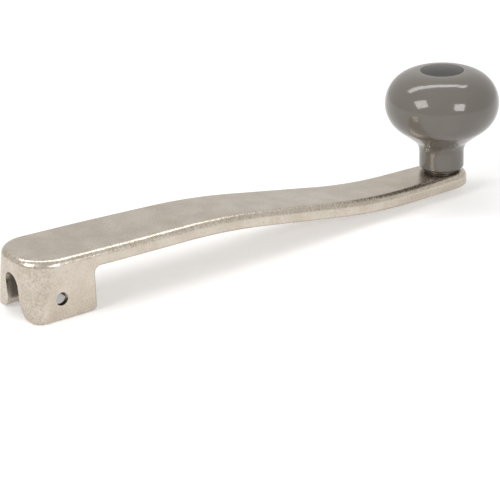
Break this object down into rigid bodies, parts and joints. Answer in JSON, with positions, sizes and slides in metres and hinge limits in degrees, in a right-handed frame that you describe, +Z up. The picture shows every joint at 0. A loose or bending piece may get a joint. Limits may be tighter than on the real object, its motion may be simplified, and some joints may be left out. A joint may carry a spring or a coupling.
{
  "type": "crank handle",
  "caption": "Cast hand crank: a forked hub for a cross pin, a flat arm that drops in an S, and a free-turning round knob on a shoulder screw.",
  "frame": {"origin": "centre of the cross-pin bore, midway between the two ears of the hub", "axes": "+X out along the arm to the knob, +Y along the cross-pin bore, +Z up along the knob's axis"},
  "size_m": [0.2115, 0.044, 0.0497],
  "materials": {
    "plated_casting": "satin nickel plate over a lightly pebbled casting",
    "steel": "dark turned steel",
    "knob_moulding": "gloss warm grey moulding",
    "cap_moulding": "satin dark grey moulding"
  },
  "bodies": {
    "crank": {"crank_arm": "plated_casting", "base_washer": "steel", "knob_screw": "steel"},
    "knob": {"knob": "knob_moulding", "knob_cap": "cap_moulding"}
  },
  "joints": [
    {"name": "knob_spin", "type": "hinge", "parent": "crank", "child": "knob", "pos_m": [0.1782, 0, 0.02], "axis": [0, 0, 1], "continuous": true}
  ]
}
